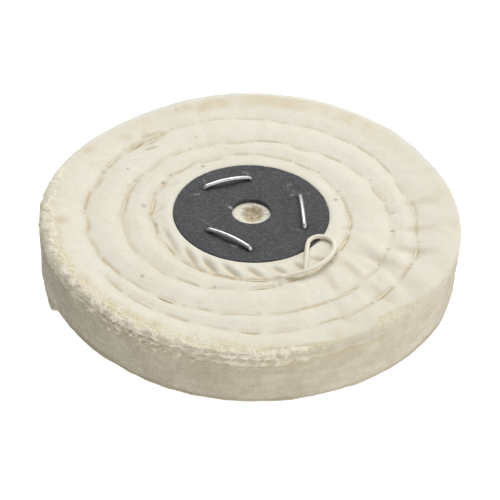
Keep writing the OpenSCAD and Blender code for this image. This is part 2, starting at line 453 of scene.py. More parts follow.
def ring_mesh(name, rings):
    """A closed mesh of quads through a list of rings, each with the same number of points."""
    rings = np.asarray(rings)
    count, columns = rings.shape[:2]
    index = np.arange(count * columns).reshape(count, columns)
    index = np.vstack([index, index[:1]])
    beside = np.roll(index, -1, axis=1)
    faces = np.stack([index[:-1], beside[:-1], beside[1:], index[1:]], axis=-1).reshape(-1, 4)
    mesh = bpy.data.meshes.new(name)
    mesh.from_pydata(rings.reshape(-1, 3).tolist(), [], faces.tolist())
    mesh.polygons.foreach_set("use_smooth", [True] * len(mesh.polygons))
    shell = bmesh.new()
    shell.from_mesh(mesh)
    bmesh.ops.recalc_face_normals(shell, faces=shell.faces)
    shell.to_mesh(mesh)
    shell.free()
    mesh.update()
    return mesh


def store(mesh, name, values):
    layer = mesh.attributes.new(name, "FLOAT", "POINT")
    layer.data.foreach_set("value", np.asarray(values, np.float32).ravel())


def ring_piece(name, rings, fields, finish):
    """A piece made of rings, with its number fields and its finish."""
    mesh = ring_mesh(name, rings)
    for field, values in fields.items():
        store(mesh, field, values)
    mesh.materials.append(finish)
    return link(name, mesh)


def path_mesh(name, points):
    """A line of vertices joined by edges."""
    mesh = bpy.data.meshes.new(name)
    edges = [(i, i + 1) for i in range(len(points) - 1)]
    mesh.from_pydata([tuple(point) for point in points], edges, [])
    return mesh


# Node trees

class Wire:
    """A socket of a node tree. Arithmetic on it adds Math nodes to the tree."""

    def __init__(self, tree, socket=None):
        self.tree = tree
        self.socket = socket

    def node(self, kind, inputs=None, output=0, **settings):
        """Adds a node of a type: its settings are made first, then the values or links of its sockets."""
        made = self.tree.nodes.new(kind)
        for name, value in settings.items():
            setattr(made, name, value)
        for name, value in (inputs or {}).items():
            socket = made.inputs[name]
            if isinstance(value, Wire):
                self.tree.links.new(value.socket, socket)
            else:
                socket.default_value = value
        return Wire(self.tree, made.outputs[output])

    def math(self, operation, *values):
        return self.node("ShaderNodeMath", dict(enumerate(values)), operation=operation)

    def __add__(self, other):
        return self.math("ADD", self, other)

    def __sub__(self, other):
        return self.math("SUBTRACT", self, other)

    def __rsub__(self, other):
        return self.math("SUBTRACT", other, self)

    def __mul__(self, other):
        return self.math("MULTIPLY", self, other)

    def __truediv__(self, other):
        return self.math("DIVIDE", self, other)

    def __pow__(self, other):
        return self.math("POWER", self, other)

    __radd__ = __add__
    __rmul__ = __mul__

    def sine(self):
        return self.math("SINE", self)

    def step(self, low, high):
        """Rises smoothly from 0 at low to 1 at high."""
        return self.node(
            "ShaderNodeMapRange",
            {"Value": self, "From Min": low, "From Max": high},
            interpolation_type="SMOOTHSTEP",
        )

    def paint(self, under, over):
        """A colour: under where this mask is 0 or less, over where it is 1 or more."""
        return self.node("ShaderNodeMix", {0: self, 6: under, 7: over}, output=2, data_type="RGBA")

    def noise(self, size, detail=3, roughness=0.55):
        """Noise from 0 to 1 over this place, with bumps of a size in metres."""
        return self.node(
            "ShaderNodeTexNoise",
            {"Vector": self, "Scale": 1 / size, "Detail": detail, "Roughness": roughness},
        )

    def stretched(self, scale):
        return self.node("ShaderNodeMapping", {"Vector": self, "Scale": scale})

    def axis(self, index):
        return self.node("ShaderNodeSeparateXYZ", {0: self}, output=index)

    def bump(self, strength, distance):
        return self.node("ShaderNodeBump", {"Height": self, "Strength": strength, "Distance": distance})

    def attribute(self, name):
        return self.node("ShaderNodeAttribute", output=2, attribute_name=name)

    def object_place(self):
        return self.node("ShaderNodeTexCoord", output=3)


def new_finish(name, **constants):
    """A material, the start of its tree and a function that links its shader's sockets."""
    material = bpy.data.materials.new(name)
    material.use_nodes = True
    tree = material.node_tree
    shader = tree.nodes["Principled BSDF"]
    for socket, value in constants.items():
        shader.inputs[socket.replace("_", " ")].default_value = value

    def connect(socket, wire):
        tree.links.new(wire.socket, shader.inputs[socket])

    return material, Wire(tree), connect


def rgba(red, green, blue):
    return (red, green, blue, 1)


# Finishes

def painted(colour, *layers):
    """A colour with layers painted over it in turn, each a mask and the colour that it lays on."""
    for mask, over in layers:
        colour = mask.paint(colour, over)
    return colour


WEAVE = 2 * math.pi / (0.9 * MM)
CALICO_PALE = rgba(0.724, 0.695, 0.594)
CALICO_WARM = rgba(0.704, 0.666, 0.549)
CALICO_DULL = rgba(0.665, 0.62, 0.49)
SLUB_TAN = rgba(0.645, 0.595, 0.46)
YARN_LIGHT = rgba(0.775, 0.755, 0.67)
YARN_SHADE = rgba(0.625, 0.58, 0.45)
WEAVE_SHADE = rgba(0.54, 0.46, 0.32)
# Painted tan shade in the creases of the stitches, along the seam, in fold valleys and at the torn edge
CREASE_SHADE_BROWN = rgba(0.475, 0.36, 0.19)
SOIL_YELLOW = rgba(0.59, 0.505, 0.295)
# Real stains, and painted tan shade down in the bore
STAIN_AND_SHADE_TAN = rgba(0.56, 0.435, 0.25)
# Felted colour of the worn edge, with painted shade darkening it down the curl
FELTED_AND_SHADE_GREY = rgba(0.53, 0.475, 0.36)
FUZZ_WHITE = rgba(0.69, 0.685, 0.62)
# Seed flecks, and painted dark shade in the needle holes and down in the bore
SEED_AND_SHADE_BROWN = rgba(0.2, 0.155, 0.085)


def calico():
    """Unbleached cotton cloth: faint weave and slubs, soil towards the rim, stains, flecks of seed, a felted
    edge, and painted tan shade in creases, folds, needle holes, down the curl and down into the bore.
    """
    material, start, connect = new_finish("calico", Roughness=0.95, Sheen_Weight=0.12, Sheen_Roughness=0.6)
    place = start.object_place()
    x = place.axis(0)
    y = place.axis(1)
    weave = (x * WEAVE).sine() * (y * WEAVE).sine()
    slubs_x = place.stretched((120, 1900, 120)).noise(1, 2)
    slubs_y = place.stretched((1900, 120, 120)).noise(1, 2)
    cloudy = place.noise(14 * MM, 4)
    blotchy = place.noise(3.5 * MM, 5, 0.6)
    fine = place.noise(0.6 * MM, 3, 0.65)
    grains = blotchy.step(0.4, 0.62) * 0.4 + fine.step(0.48, 0.63) * 0.95
    colour = painted(
        cloudy.step(0.35, 0.7).paint(CALICO_PALE, CALICO_WARM),
        (blotchy.step(0.5, 0.72) * 0.4, CALICO_DULL),
        ((slubs_x + slubs_y - 0.95) * 0.5, SLUB_TAN),
        (fine.step(0.5, 0.75) * 0.6, YARN_LIGHT),
        ((1 - fine).step(0.5, 0.75) * 0.5, YARN_SHADE),
        (weave.step(0.1, 0.8) * start.attribute("weave") * 0.8, WEAVE_SHADE),
        (start.attribute("crease_shade") * (0.5 + 0.8 * blotchy), CREASE_SHADE_BROWN),
        (start.attribute("soil") * grains, SOIL_YELLOW),
        (start.attribute("stain_and_bore_shade") * (0.3 + 0.9 * blotchy), STAIN_AND_SHADE_TAN),
        (start.attribute("felted_and_shade") * (0.7 + 0.6 * blotchy), FELTED_AND_SHADE_GREY),
        (start.attribute("fuzz") * (0.4 + 0.7 * fine), FUZZ_WHITE),
        (start.attribute("fleck_and_hole_shade") * fine.step(0.3, 0.6), SEED_AND_SHADE_BROWN),
    )
    connect("Base Color", colour)
    relief = weave * 0.15 + fine + slubs_x * 0.3 + slubs_y * 0.3
    connect("Normal", relief.bump(0.5, 0.1 * MM))
    return material


EDGE_WARM = rgba(0.765, 0.695, 0.54)
EDGE_PALE = rgba(0.85, 0.79, 0.64)
EDGE_DULL = rgba(0.69, 0.615, 0.47)
EDGE_SHADE = rgba(0.62, 0.54, 0.395)
EDGE_SOIL = rgba(0.7, 0.585, 0.375)
FIBRE_PALE = rgba(0.88, 0.835, 0.72)
FIBRE_SHADE = rgba(0.57, 0.495, 0.365)
BORE_BOUNCE_LIGHT = rgba(0.92, 0.8, 0.6)


def cut_edges():
    """Edges of the inner plies: felted, streaked along the layers, rougher at the left, with painted warm
    bounce light in the bore.
    """
    material, start, connect = new_finish(
        "cut_cloth_edges", Roughness=1, Sheen_Weight=0.2, Sheen_Roughness=0.5
    )
    place = start.object_place()
    x = place.axis(0)
    y = place.axis(1)
    streaks = place.stretched((90, 90, 800)).noise(1, 2)
    patches = place.noise(6 * MM, 4)
    mottles = place.noise(2.2 * MM, 4, 0.6)
    fibres = place.noise(0.5 * MM, 4, 0.7)
    left = (x * -1).step(-25 * MM, 35 * MM)
    top = place.axis(2).step(9 * MM, 14 * MM) * (y * -1).step(28 * MM, 46 * MM)
    # Painted warm light bounced round inside the bore
    bore = 1 - ((x * x + y * y) ** 0.5).step(5 * MM, 7 * MM)
    colour = painted(
        streaks.step(0.3, 0.7).paint(EDGE_WARM, EDGE_PALE),
        (patches.step(0.4, 0.65) * (0.62 + 0.08 * left), EDGE_DULL),
        (mottles.step(0.45, 0.7) * (0.4 + 0.25 * left), EDGE_SHADE),
        (fibres.step(0.45, 0.72) * (0.4 + 0.4 * left), FIBRE_PALE),
        ((1 - fibres).step(0.48, 0.72) * (0.15 + 0.5 * left), FIBRE_SHADE),
        (top * (0.35 + 0.6 * patches), EDGE_SOIL),
        (bore, BORE_BOUNCE_LIGHT),
    )
    connect("Base Color", colour)
    connect("Normal", (fibres + mottles + streaks * 0.3).bump(0.6, 0.3 * MM))
    return material


FRAY_PALE = rgba(0.8, 0.755, 0.645)
FRAY_WARM = rgba(0.79, 0.715, 0.57)
FRAY_SHADE = rgba(0.65, 0.585, 0.445)
FRAY_LIGHT = rgba(0.85, 0.82, 0.725)
FRAY_SOIL = rgba(0.62, 0.525, 0.34)
# Felted colour further down the frayed edge, with painted shade
FRAY_FELTED_AND_SHADE = rgba(0.71, 0.635, 0.48)
# Painted shade in the hollows between the lumps of yarn
FRAY_PIT_SHADE = rgba(0.4, 0.35, 0.255)


def frayed_cotton():
    """Frayed edge of the cloth: pale lumps of yarn with painted shade between them, felted and painted darker
    further down, yellow soil on the inner side.
    """
    material, start, connect = new_finish(
        "frayed_cotton", Roughness=0.95, Sheen_Weight=0.15, Sheen_Roughness=0.5
    )
    place = start.object_place()
    blotchy = place.noise(3 * MM, 4, 0.6)
    fine = place.noise(0.35 * MM, 4, 0.7)
    colour = painted(
        blotchy.step(0.35, 0.65).paint(FRAY_PALE, FRAY_WARM),
        ((1 - fine).step(0.48, 0.7) * 0.55, FRAY_SHADE),
        (fine.step(0.52, 0.72) * 0.5, FRAY_LIGHT),
        (start.attribute("soil") * fine.step(0.4, 0.6), FRAY_SOIL),
        (start.attribute("felted_and_shade") * (0.6 + 0.6 * blotchy), FRAY_FELTED_AND_SHADE),
        (start.attribute("pit"), FRAY_PIT_SHADE),
    )
    connect("Base Color", colour)
    connect("Normal", fine.bump(0.6, 0.22 * MM))
    return material


TWIST_L = 1.6 * MM
TWIST_STRANDS = 2
THREAD_HAIR = rgba(0.78, 0.74, 0.64)


def sewing_cotton(name, pale, dark):
    """Twisted sewing thread, much the colour of the cloth."""
    material, start, connect = new_finish(name, Roughness=0.9, Sheen_Weight=0.15)
    twist = (start.attribute("along") / TWIST_L + start.attribute("around")) * (2 * math.pi * TWIST_STRANDS)
    strands = twist.sine() * 0.5 + 0.5
    hairs = start.object_place().noise(0.4 * MM, 3)
    colour = painted(strands.step(0, 0.7).paint(dark, pale), (hairs.step(0.55, 0.8) * 0.5, THREAD_HAIR))
    connect("Base Color", colour)
    connect("Normal", (strands + hairs).bump(0.15, 0.06 * MM))
    return material


CHARCOAL_DARK = rgba(0.033, 0.033, 0.036)
CHARCOAL_PALE = rgba(0.05, 0.05, 0.054)
FLECK_GREY = rgba(0.11, 0.11, 0.115)
SCUFF_GREY = rgba(0.33, 0.33, 0.34)
# Painted dark shade in the holes of the staples' legs
LEG_HOLE_SHADE_BLACK = rgba(0.008, 0.008, 0.009)


def vulcanised_fibre():
    """Charcoal fibre sheet with pale flecks, cloudy wear, scuffs where the staples were driven, and painted
    dark shade in the legs' holes.
    """
    material, start, connect = new_finish("vulcanised_fibre")
    place = start.object_place()
    grain = place.noise(0.75 * MM, 4, 0.75)
    cloudy = place.noise(6 * MM, 3)
    colour = painted(
        cloudy.step(0.3, 0.7).paint(CHARCOAL_DARK, CHARCOAL_PALE),
        (grain.step(0.44, 0.7) * 0.8, FLECK_GREY),
        (start.attribute("scuff") * grain.step(0.35, 0.6), SCUFF_GREY),
        (start.attribute("hole"), LEG_HOLE_SHADE_BLACK),
    )
    connect("Base Color", colour)
    connect("Roughness", 0.65 + 0.25 * grain)
    connect("Normal", (grain + cloudy).bump(0.35, 0.08 * MM))
    return material


ZINC_BRIGHT = rgba(0.62, 0.64, 0.655)
ZINC_DULL = rgba(0.52, 0.54, 0.55)


def galvanised_wire():
    """Bright zinc-coated staple wire with dull spots."""
    material, start, connect = new_finish("galvanised_wire", Metallic=1)
    dull = start.object_place().noise(3 * MM, 1)
    connect("Base Color", dull.step(0.4, 0.75).paint(ZINC_BRIGHT, ZINC_DULL))
    connect("Roughness", 0.34 + 0.14 * dull)
    return material


FLOOR_DARK = rgba(0.24, 0.24, 0.24)
FLOOR_PALE = rgba(0.26, 0.26, 0.26)


def pale_floor():
    """A floor that glows nearly white, so that only the shadow of the wheel shows on it."""
    material, start, connect = new_finish("pale_floor", Roughness=0.9, Emission_Strength=0.95)
    mottle = start.object_place().noise(0.2, 2)
    connect("Base Color", mottle.paint(FLOOR_DARK, FLOOR_PALE))
    return material


# Geometry trees for what repeats and what follows a path

SOCKETS = {float: "NodeSocketFloat", int: "NodeSocketInt"}


def new_tree(name, **defaults):
    """A geometry tree with a named input for each size, and the start of its wiring."""
    tree = bpy.data.node_groups.new(name, "GeometryNodeTree")
    tree.interface.new_socket("Geometry", in_out="INPUT", socket_type="NodeSocketGeometry")
    tree.interface.new_socket("Finish", in_out="INPUT", socket_type="NodeSocketMaterial")
    for label, value in defaults.items():
        socket = tree.interface.new_socket(
            label.replace("_", " "), in_out="INPUT", socket_type=SOCKETS[type(value)]
        )
        socket.default_value = value
    tree.interface.new_socket("Geometry", in_out="OUTPUT", socket_type="NodeSocketGeometry")
    entry = tree.nodes.new("NodeGroupInput")
    given = {socket.name: Wire(tree, socket) for socket in entry.outputs if socket.name}
    return tree, Wire(tree), given


def close_tree(start, geometry, given):
    """Realizes what the tree made, sets its finish and sends it out."""
    real = start.node("GeometryNodeRealizeInstances", {"Geometry": geometry})
    smooth = start.node("GeometryNodeSetShadeSmooth", {"Geometry": real})
    finished = start.node("GeometryNodeSetMaterial", {"Geometry": smooth, "Material": given["Finish"]})
    leave = start.tree.nodes.new("NodeGroupOutput")
    start.tree.links.new(finished.socket, leave.inputs[0])


def keep(start, geometry, name, value, domain="POINT"):
    return start.node(
        "GeometryNodeStoreNamedAttribute",
        {"Geometry": geometry, "Name": name, "Value": value},
        data_type="FLOAT",
        domain=domain,
    )


def random_value(start, low, high, seed):
    return start.node(
        "FunctionNodeRandomValue", {2: low, 3: high, "Seed": seed}, output=1, data_type="FLOAT"
    )


def swept_tree():
    """A round strand swept along a line of points."""
    tree, start, given = new_tree("swept_strand", Radius=0.35 * MM, Sides=10, Spacing=0.3 * MM)
    line = start.node("GeometryNodeMeshToCurve", {"Mesh": given["Geometry"]})
    line = start.node("GeometryNodeCurveSplineType", {"Curve": line}, spline_type="CATMULL_ROM")
    line = start.node("GeometryNodeResampleCurve", {"Curve": line, "Length": given["Spacing"]}, mode="LENGTH")
    line = keep(start, line, "along", start.node("GeometryNodeSplineParameter", output=1))
    ring = start.node(
        "GeometryNodeCurvePrimitiveCircle",
        {"Resolution": given["Sides"], "Radius": given["Radius"]},
        mode="RADIUS",
    )
    ring = keep(start, ring, "around", start.node("GeometryNodeSplineParameter"))
    strand = start.node("GeometryNodeCurveToMesh", {"Curve": line, "Profile Curve": ring, "Fill Caps": True})
    close_tree(start, strand, given)
    return tree


# How far the upper plies stop short of the rim where the edge is worn round
PACK_WORN_IN = 1.4 * MM
# A corner of the lower plies stands out: the angles where that starts, is full and ends, and how far
PACK_CORNER_TURNS = (-172, -153, -152)
PACK_CORNER_OUT = 1.1 * MM
# Share of the spacing that a ply fills to each side of its middle, the height of the waves in its loose edge,
# and how far the waves shift through the pack
PLY_FILL = 0.46
PLY_WAVE = 0.35 * MM
PLY_DRIFT = 4 * MM


def ply_tree():
    """One ragged ply repeated through the pack, each turned at random and set to its own height."""
    tree, start, given = new_tree(
        "ply_pack", Plies=18, First_Level=0.0, Level_Step=0.05, Middle=7 * MM, Wear=1.2 * MM, Seed=3,
    )
    index = start.node("GeometryNodeInputIndex")
    row = start.node("GeometryNodeMeshLine", {"Count": given["Plies"], "Offset": (0, 0, 0)})
    spin = start.node(
        "ShaderNodeCombineXYZ", {0: 0.0, 1: 0.0, 2: random_value(start, 0.0, 2 * math.pi, given["Seed"])}
    )
    spin = start.node("FunctionNodeEulerToRotation", {0: spin})
    plies = start.node(
        "GeometryNodeInstanceOnPoints", {"Points": row, "Instance": given["Geometry"], "Rotation": spin}
    )
    plies = keep(start, plies, "level", given["First Level"] + index * given["Level Step"], "INSTANCE")
    reach = random_value(start, -0.1 * MM, 0.05 * MM, given["Seed"] + 1)
    plies = keep(start, plies, "reach", reach, "INSTANCE")
    plies = start.node("GeometryNodeRealizeInstances", {"Geometry": plies})

    def read(name):
        return start.node("GeometryNodeInputNamedAttribute", {"Name": name}, data_type="FLOAT")

    place = start.node("GeometryNodeInputPosition")
    x = place.axis(0)
    y = place.axis(1)
    angle = y.math("ARCTAN2", y, x)
    level = read("level")
    loose = read("loose")
    bulge = 0
    for count, size, crest in LOBES:
        phase = count * (angle - math.radians(crest))
        bulge = phase.math("COSINE", phase) * (size * MM) + bulge
    start_turn, full_turn, less_turn, end_turn = np.radians(WORN_TURNS)
    rounded = angle.step(start_turn, full_turn) - angle.step(less_turn, end_turn)
    above = level.math("MAXIMUM", level, 0.0)
    worn = (level * level) ** 4 * given["Wear"] + rounded * above ** 4 * PACK_WORN_IN
    start_turn, full_turn, end_turn = np.radians(PACK_CORNER_TURNS)
    corner = angle.step(start_turn, full_turn) - angle.step(full_turn, end_turn)
    bulge = bulge + corner * (level * -1).step(0.2, 1) * PACK_CORNER_OUT
    radius = (x * x + y * y) ** 0.5
    stretch = 1 + loose * (bulge + read("reach") - worn) / radius
    drift = start.node("ShaderNodeCombineXYZ", {0: x, 1: y, 2: level * PLY_DRIFT})
    wave = drift.noise(5 * MM, 2) - 0.5
    skin_level = level + read("side") * given["Level Step"] * PLY_FILL
    height = given["Middle"] + read("lift") + read("half") * skin_level + wave * loose * PLY_WAVE
    moved = start.node("ShaderNodeCombineXYZ", {0: x * stretch, 1: y * stretch, 2: height})
    plies = start.node("GeometryNodeSetPosition", {"Geometry": plies, "Position": moved})
    close_tree(start, plies, given)
    return tree


def grow(name, mesh, tree, finish, **values):
    """Runs a geometry tree on a mesh and keeps the result as a plain mesh."""
    made = link(name, mesh)
    modifier = made.modifiers.new("grow", "NODES")
    modifier.node_group = tree
    named = {
        item.name: item.identifier
        for item in tree.interface.items_tree
        if item.in_out == "INPUT"
    }
    modifier[named["Finish"]] = finish
    for label, value in values.items():
        modifier[named[label.replace("_", " ")]] = value
    seen = made.evaluated_get(bpy.context.evaluated_depsgraph_get())
    result = bpy.data.meshes.new_from_object(seen)
    made.modifiers.clear()
    made.data = result
    result.name = name
    return made


def settle(piece, slot, *nodes):
    """Lets a finished piece ride on the wheel and stand for its solids."""
    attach(piece, BODY)
    if nodes:
        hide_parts(*nodes)
    return piece


# Cloth

COLUMNS = 800
TURNS = np.arange(COLUMNS) * 360 / COLUMNS
COS = np.cos(np.radians(TURNS))
SIN = np.sin(np.radians(TURNS))
# Beyond this radius the rings of a face ply follow its outline. They lie closer where there is more to show.
LOOSE_R = 42 * MM
TOP_RINGS = np.concatenate([
    [0.06, 0.6, 1.1, 1.5, 1.8, 2.1, 2.4, 2.7, 3, 3.3, 3.6, 3.9, 4.3, 4.7, 5.1, 12, 18.4, 19, 19.12],
    np.arange(19.4, 27, 0.32),
    np.arange(27, 44, 0.42),
    np.arange(44, 49.8, 0.36),
]) * MM
CURL_STEPS = np.radians(np.arange(15, 91, 15))
# The turned-down edge below the curl: depths in millimetres, and the distance between two frayed beads there
HEM_DEPTHS = [0.3, 0.6, 0.9, 1.2, 1.5, 1.8, 2.1, 2.4, 2.8]
BEAD_STEP = 1.5
# Under the face, out of sight: radius and depth below the smooth face
UNDER_RINGS = [(46.5, 3.6), (44, 2.2), (22, 2), (19.8, 0.7), (18.6, 0.3), (4.6, 0.6), (3, 1.9)]

# Stains and dark flecks of the front face: place, size in millimetres and strength
STAINS = [
    (-14.1, 43.5, 2.2, 0.6), (-10.5, 46.6, 2.6, 0.5), (-18.6, 43, 1.6, 0.35), (-33.5, 28.7, 1.5, 0.5),
    (-42.4, 22.3, 1.6, 0.4), (-45.6, -6.7, 1.6, 0.85), (-28.5, 31, 1.3, 0.4), (-24.2, 31.6, 1.2, 0.4),
    (-37.9, -28.8, 2.2, 0.5), (-31, -36, 2, 0.35), (-20, -43, 2.4, 0.35), (-31.2, 25.6, 0.9, 0.5),
    (20.5, -43.2, 1.2, 0.4), (-25, 2.2, 1, 0.35), (-22.4, 1.2, 0.9, 0.3),
]
FLECKS = [
    (-31.5, 15.1, 0.35, 0.7), (-29.1, 10.7, 0.4, 0.8), (-22.3, 10.3, 0.45, 0.8), (-26.3, 0.7, 0.75, 0.5),
    (-22.8, -6.1, 0.4, 0.9), (-40.5, -1, 0.3, 0.7), (-12.7, 17.7, 0.55, 0.8), (-24.4, -25.8, 0.4, 0.6),
    (-7.7, -28.1, 0.35, 0.6), (20.7, 6.2, 0.55, 0.75), (34.5, 2, 0.4, 0.75), (34.2, -5.2, 0.45, 0.75),
    (32.7, -12.2, 0.35, 0.7), (-26.6, 26.4, 0.45, 0.5), (-21, 41.8, 0.4, 0.5), (30.4, -17.6, 0.3, 0.6),
    (40, -14.5, 0.3, 0.5), (-31, 8.9, 0.3, 0.5), (-15, 30, 0.35, 0.5), (-33.4, 23.8, 0.3, 0.4),
]
# The painted shade in the needle holes is darkest in this part of the wheel
DOTTED_TURN = 345
DOTTED_WIDTH = 45
# A corner of the lowest ply stands out: angles, and how far in millimetres
CORNER_TURNS = [188, 198, 206.8, 207.4]
CORNER_OUT = [0, 0.35, 1.2, 0]
# How far the lowest ply stops short of the rim elsewhere, in millimetres
BACK_INSET = 0.1
# Rags of a ply's outline: height in millimetres and number of bumps to a turn
RAGS = [(0.12, 34), (0.1, 120), (0.06, 260)]
# Lumps of the frayed edge: how far they stand out and up
LUMP_OUT = 0.28 * MM
LUMP_UP = 0.15 * MM
# Middle of the painted shade where the cloth is drawn together down into the bore, in millimetres
BORE_SHADE_MIDDLE = (0.4, 0.9)


def marks(x, y, places):
    """Soft round marks, as a share of full strength."""
    total = np.zeros(x.shape)
    for left, up, size, strength in places:
        total += strength * bell(np.hypot(x - left * MM, y - up * MM), size * MM)
    return total


def edge_radius(turn, face):
    """Outline of a face ply round the rim."""
    seed = FACE_SEED[face] + 5
    ragged = sum(size * ring_noise(turn, bumps, seed + layer) for layer, (size, bumps) in enumerate(RAGS))
    if face == "back":
        out = np.interp(turn, CORNER_TURNS, CORNER_OUT, 0, 0)
        ragged += out - BACK_INSET * (1 - smoothstep(0, 0.35, out))
    else:
        ragged *= 1 + worn_round(turn)
        ragged -= WORN_IN * worn_round(turn) + 0.25 * fraying(turn)
    return rim_radius(turn) + ragged * MM


def curl_radius(turn, face):
    """Radius by which the edge of a face ply rounds over: widest at the left of the front face."""
    if face == "back":
        return np.full(turn.shape, 0.3 * MM)
    return (0.6 + 1.4 * sector(turn, 188, 38) + 1.5 * worn_round(turn)) * MM


def face_marks(x, y, face):
    """Where the face is painted with shade in its creases, folds, needle holes and bore, and where it is
    soiled, stained, fuzzy, flecked and plainly woven, each from 0 to 1.
    """
    turn, r = turn_and_radius(x, y)
    away, aside, along, number = seam_field(x, y)
    # Painted shade in the creases of the stitches, along the seam groove, in the valleys of the folds and at
    # the torn edge
    near_start = sector(turn, SEAM_START, 40) * (1 - smoothstep(25 * MM, 28 * MM, r))
    seam_shade = 0.1 + 0.4 * near_start + 0.2 * sector(turn, 175, 50)
    plain = 0.9 + 0.4 * near_start - 0.25 * sector(turn, 165, 50)
    crease_shade = plain * crease_lines(aside, along, number) + seam_shade * bell(away, 0.9 * MM)
    crease_shade += np.clip(fold_depth(x, y, face) / (0.7 * MM), 0, 1) * 0.85
    inside = rim_radius(turn) - r
    brim = 1 - smoothstep(1.2 * MM, 2.6 * MM, inside)
    fuzz = sector(turn, 95, 100) * brim
    tanned = sector(turn, 85, 45) * (1 - smoothstep(5.5 * MM, 9 * MM, inside)) * (1 - brim)
    soil = (0.2 + 1.2 * sector(turn, 230, 45)) * smoothstep(44.3 * MM, 48.8 * MM, r) + 0.2 * tanned
    stain_and_bore_shade = 0.42 * tanned * (0.7 + 0.6 * ring_noise(turn, 70, 29))
    fleck_and_hole_shade = np.zeros(x.shape)
    weave = np.zeros(x.shape)
    if face == "front":
        torn = torn_gap(r, turn)
        crease_shade += 0.25 * bell(torn - 0.15 * MM, 0.3 * MM) * (r < 50 * MM)
        soil += 0.7 * smoothstep(-0.2 * MM, 0.5 * MM, torn)
        # Painted shade down in the bore, tan and dark, where little light reaches the cloth drawn together
        # there
        from_mouth = np.hypot(x - BORE_SHADE_MIDDLE[0] * MM, y - BORE_SHADE_MIDDLE[1] * MM)
        mouth = 1 - smoothstep(1.9 * MM, 3.2 * MM, from_mouth)
        stain_and_bore_shade += marks(x, y, STAINS) + 0.8 * mouth
        # Dark seed flecks, dots along sunk stitches, and painted shade in the needle holes and down in the
        # bore
        dotted = 0.5 + 0.5 * sector(turn, DOTTED_TURN, DOTTED_WIDTH)
        fleck_and_hole_shade = 1.3 * marks(x, y, FLECKS) + dotted * hole_marks(away, along, number) + 0.5 * mouth
        fleck_and_hole_shade += 1.1 * sector(turn, 50, 60) * thread_dots(away, along, number)
        weave = sector(turn, 303, 14) * bell(r - 45.5 * MM, 2.6 * MM)
    return {"crease_shade": crease_shade, "soil": soil, "stain_and_bore_shade": stain_and_bore_shade, "fuzz": fuzz, "fleck_and_hole_shade": fleck_and_hole_shade, "weave": weave}


def face_ply(face, finish):
    """The outermost ply of one face: gathered along the seam, curled over at the rim and frayed there."""
    seed = FACE_SEED[face]
    edge = edge_radius(TURNS, face)
    curl = curl_radius(TURNS, face)
    frayed = fraying(TURNS) if face == "front" else np.zeros(COLUMNS)
    hem = np.clip(0.15 + 0.12 * ring_noise(TURNS, 60, seed + 10) + 0.85 * frayed, 0.05, 1)
    reach = np.clip((TOP_RINGS - LOOSE_R) / (TOP_RINGS[-1] - LOOSE_R), 0, 1)[:, None]
    r = TOP_RINGS[:, None] + reach * (edge - curl - TOP_RINGS[-1])
    mouth = 1 - smoothstep(2.4 * MM, 4.3 * MM, TOP_RINGS)[:, None]
    drawn = 0.1 * ring_noise(TURNS, 9, seed + 7) + 0.05 * ring_noise(TURNS, 30, seed + 8)
    r += mouth * TOP_RINGS[:, None] * drawn
    height = cloth_height(r * COS, r * SIN, face)
    brim = height[-1]
    rows_r = [*r]
    rows_h = [*height]

    def add(radius, level, depth):
        lumps = soft_noise(TURNS * (LATTICE / 360) * 2, np.full(COLUMNS, depth / (0.8 * MM)), seed + 9)
        rows_r.append(radius + LUMP_OUT * lumps * frayed)
        rows_h.append(level + LUMP_UP * lumps * frayed)

    for bend in CURL_STEPS:
        add(edge - curl * (1 - math.sin(bend)), brim - curl * (1 - math.cos(bend)), bend * curl.max())
    for depth in HEM_DEPTHS:
        bead = 0.2 * (1 - math.cos(2 * math.pi * depth / BEAD_STEP))
        inset = frayed * bead + (1 - frayed) * 0.35 * depth
        add(edge - inset * MM, brim - curl - depth * hem * MM, 3 * MM + depth * MM)
    for radius, depth in UNDER_RINGS:
        rows_r.append(np.full(COLUMNS, radius * MM))
        rows_h.append(face_shape(rows_r[-1], face) - depth * MM)
    rows_r = np.array(rows_r)
    x = rows_r * COS
    y = rows_r * SIN
    rings = np.stack([x, y, MIDDLE_Z + FACE_UP[face] * np.array(rows_h)], axis=-1)
    fields = {name: np.clip(values, 0, 1) for name, values in face_marks(x, y, face).items()}
    # Felted colour of the worn edge, with painted shade deepening down the curl towards the darker side of
    # the pack
    felted_and_shade = np.zeros(x.shape)
    if face == "front":
        felted_and_shade[:len(r)] = 0.12 * worn_round(TURNS) * smoothstep(-1.5 * MM, 0, r - r[-1])
    felted_and_shade[len(r):] = 1 - 0.3 * frayed if face == "front" else 0.35
    felted_and_shade[len(r):len(r) + len(CURL_STEPS)] *= np.linspace(0.12, 0.95, len(CURL_STEPS))[:, None]
    return ring_piece(f"{face}_cloth", rings, {**fields, "felted_and_shade": felted_and_shade}, finish)


INNER_COLUMNS = 300
INNER_BORE_R = 3.6
# One inner ply: radius, side of the ply, half thickness of the pack there, how loose it is there and
# how far it is lifted
INNER_PROFILE = [
    (INNER_BORE_R, 1, 5, 0, 0.5), (8, 1, 4.95, 0, 0.5), (19, 1, 4.9, 0, 0.5), (22, 1, 5, 0, 0.2),
    (44, 1, 5.3, 0.2, 0), (47.4, 1, 6.5, 0.7, 0), (50.5, 1, 7, 1, 0),
]
INNER_RINGS = [
    *INNER_PROFILE,
    (50.9, 0, 7, 1, 0),
    *[(radius, -side, half, loose, lift) for radius, side, half, loose, lift in reversed(INNER_PROFILE)],
]


